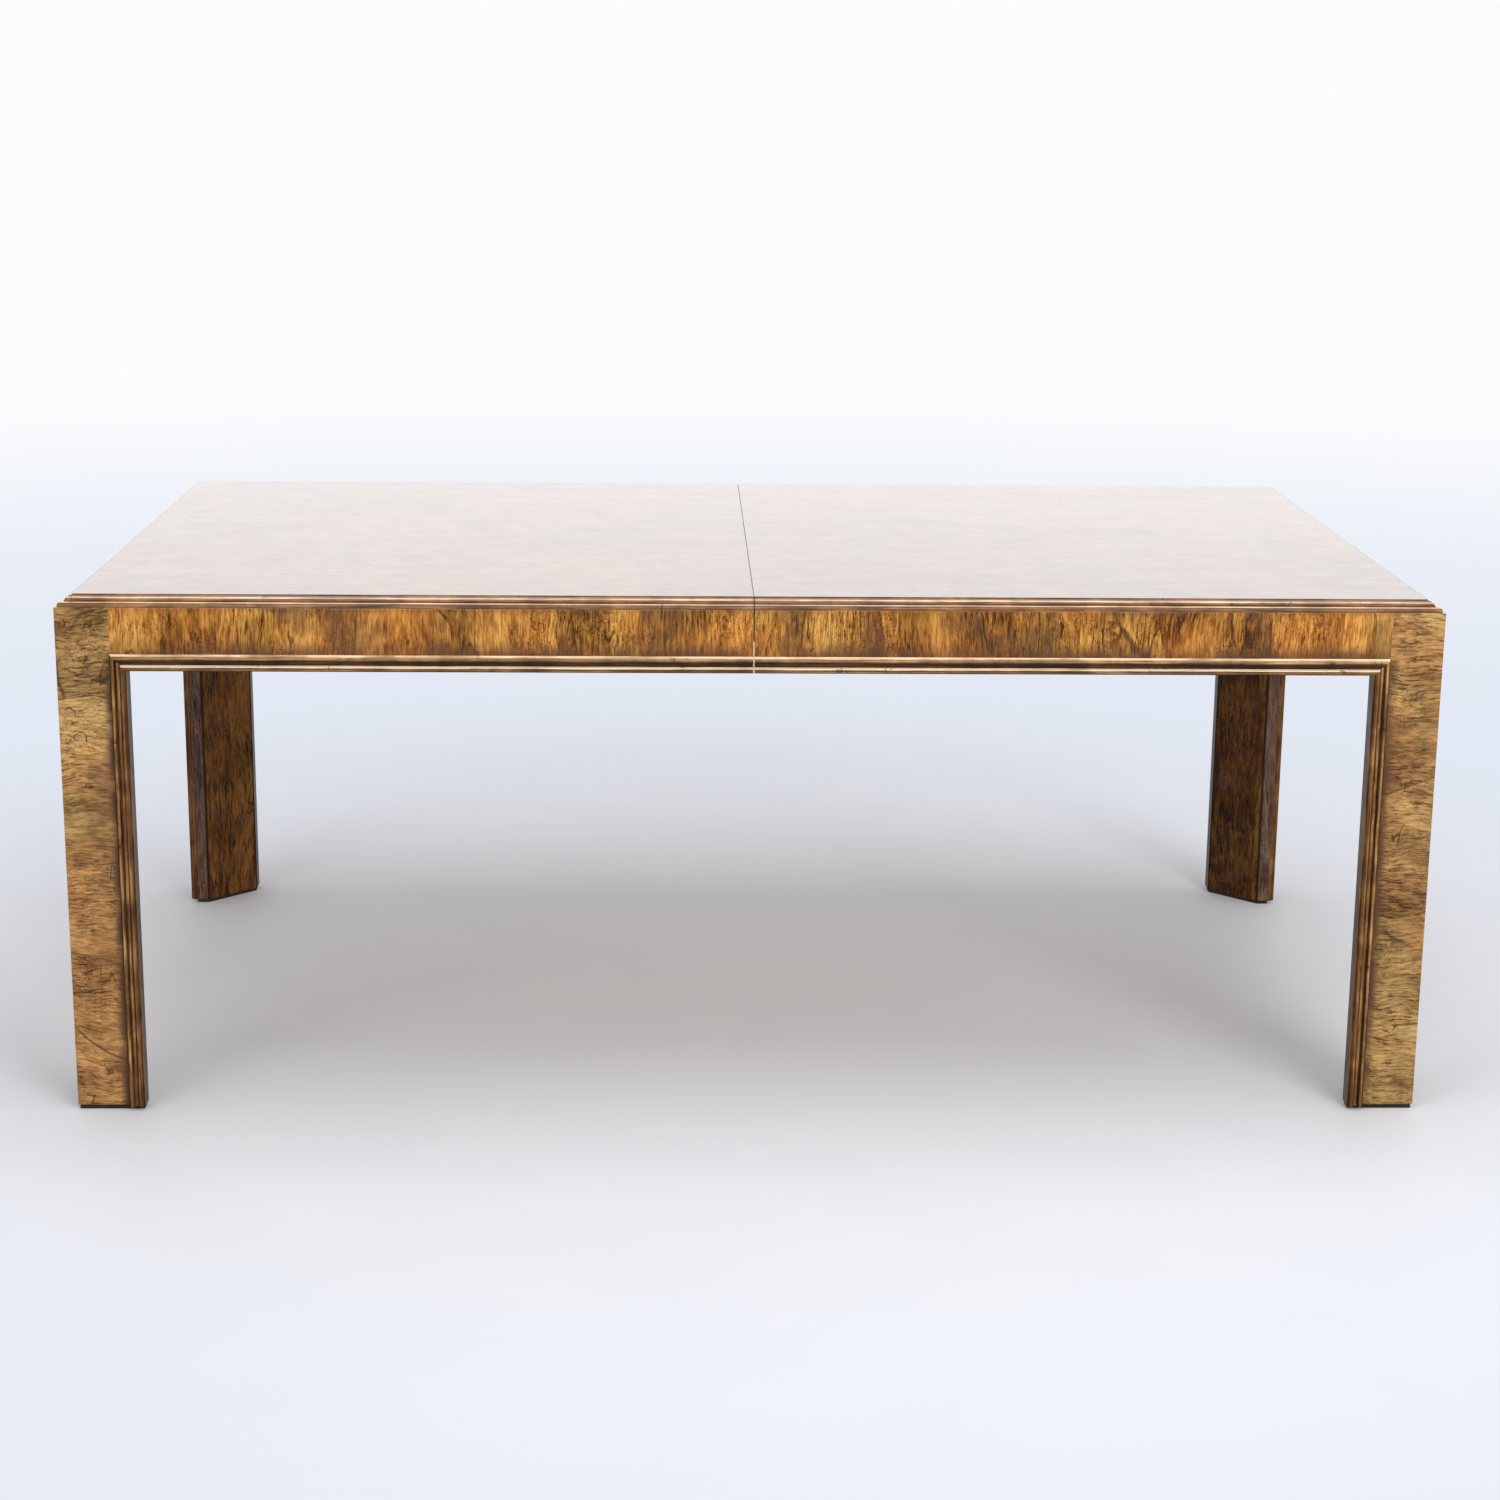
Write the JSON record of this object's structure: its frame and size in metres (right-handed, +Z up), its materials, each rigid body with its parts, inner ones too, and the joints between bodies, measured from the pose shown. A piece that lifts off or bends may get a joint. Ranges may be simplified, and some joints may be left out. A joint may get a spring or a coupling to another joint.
{
  "type": "parsons dining table",
  "caption": "Extending parsons dining table with square legs, proud double-bead mouldings and a top split for leaves on geared wooden slides.",
  "frame": {"origin": "on the floor under the middle of the joint between the two half tops", "axes": "+X along the table towards the right half, -Y towards the front, +Z up"},
  "size_m": [1.949, 1.137, 0.749],
  "materials": {
    "top_veneer": "distressed veneer under gloss lacquer, grain along the table",
    "top_moulding": "stained solid moulding under gloss lacquer",
    "apron_veneer": "distressed veneer, upright grain, under gloss lacquer",
    "apron_moulding": "stained solid moulding under gloss lacquer",
    "leg_veneer": "distressed veneer, level grain, under gloss lacquer",
    "leg_moulding": "stained solid moulding under gloss lacquer",
    "block_wood": "bare sawn hardwood",
    "slide_wood": "bare planed and waxed hardwood",
    "pin_wood": "bare turned hardwood",
    "foot_plastic": "matt black plastic",
    "gear_steel": "oiled steel",
    "plated_steel": "zinc plated steel"
  },
  "bodies": {
    "left_half": {"back_slide_left_member": "slide_wood", "front_slide_left_member": "slide_wood", "left_apron_back": "apron_veneer", "left_apron_end": "apron_veneer", "left_apron_front": "apron_veneer", "left_apron_moulding_back": "apron_moulding", "left_apron_moulding_end": "apron_moulding", "left_apron_moulding_front": "apron_moulding", "left_back_corner_block": "block_wood", "left_back_leg": "leg_veneer", "left_back_leg_mouldings": "leg_moulding", "left_cleats": "block_wood", "left_foot_pads": "foot_plastic", "left_front_corner_block": "block_wood", "left_front_leg": "leg_veneer", "left_front_leg_mouldings": "leg_moulding", "left_glue_blocks": "block_wood", "left_leg_bolts": "plated_steel", "left_leg_nuts": "plated_steel", "left_racks": "gear_steel", "left_top_edge_back": "top_moulding", "left_top_edge_end": "top_moulding", "left_top_edge_front": "top_moulding", "left_top_panel": "top_veneer", "lock_bases": "plated_steel"},
    "right_half": {"alignment_pins": "pin_wood", "back_slide_right_member": "slide_wood", "front_slide_right_member": "slide_wood", "lock_keepers": "plated_steel", "right_apron_back": "apron_veneer", "right_apron_end": "apron_veneer", "right_apron_front": "apron_veneer", "right_apron_moulding_back": "apron_moulding", "right_apron_moulding_end": "apron_moulding", "right_apron_moulding_front": "apron_moulding", "right_back_corner_block": "block_wood", "right_back_leg": "leg_veneer", "right_back_leg_mouldings": "leg_moulding", "right_cleats": "block_wood", "right_foot_pads": "foot_plastic", "right_front_corner_block": "block_wood", "right_front_leg": "leg_veneer", "right_front_leg_mouldings": "leg_moulding", "right_glue_blocks": "block_wood", "right_leg_bolts": "plated_steel", "right_leg_nuts": "plated_steel", "right_racks": "gear_steel", "right_top_edge_back": "top_moulding", "right_top_edge_end": "top_moulding", "right_top_edge_front": "top_moulding", "right_top_panel": "top_veneer"},
    "front_middle_slide": {"front_pinion_pin": "plated_steel", "front_slide_middle_member": "slide_wood"},
    "back_middle_slide": {"back_pinion_pin": "plated_steel", "back_slide_middle_member": "slide_wood"},
    "front_pinion": {"front_pinion": "gear_steel"},
    "back_pinion": {"back_pinion": "gear_steel"},
    "front_lock_lever": {"front_lock_lever": "plated_steel"},
    "back_lock_lever": {"back_lock_lever": "plated_steel"}
  },
  "joints": [
    {"name": "extension", "type": "slide", "parent": "left_half", "child": "right_half", "axis": [1, 0, 0], "range_m": [0, 1.016]},
    {"name": "front_middle_travel", "type": "slide", "parent": "left_half", "child": "front_middle_slide", "axis": [1, 0, 0], "range_m": [0, 0.508]},
    {"name": "front_pinion_spin", "type": "hinge", "parent": "front_middle_slide", "child": "front_pinion", "pos_m": [0, -0.27, 0.675], "axis": [0, 0, -1], "range_deg": [0, 1164.26]},
    {"name": "back_middle_travel", "type": "slide", "parent": "left_half", "child": "back_middle_slide", "axis": [1, 0, 0], "range_m": [0, 0.508]},
    {"name": "back_pinion_spin", "type": "hinge", "parent": "back_middle_slide", "child": "back_pinion", "pos_m": [0, 0.27, 0.675], "axis": [0, 0, -1], "range_deg": [0, 1164.26]},
    {"name": "front_lock_swing", "type": "hinge", "parent": "left_half", "child": "front_lock_lever", "pos_m": [-0.045, -0.42, 0.7285], "axis": [0, 0, -1], "range_deg": [0, 90]},
    {"name": "back_lock_swing", "type": "hinge", "parent": "left_half", "child": "back_lock_lever", "pos_m": [-0.045, 0.42, 0.7285], "axis": [0, 0, -1], "range_deg": [0, 90]}
  ],
  "couplings": [
    {"joint": "front_middle_travel", "follows": "extension", "ratio": 0.5},
    {"joint": "front_pinion_spin", "follows": "extension", "rad_per_m": 20},
    {"joint": "back_middle_travel", "follows": "extension", "ratio": 0.5},
    {"joint": "back_pinion_spin", "follows": "extension", "rad_per_m": 20}
  ]
}
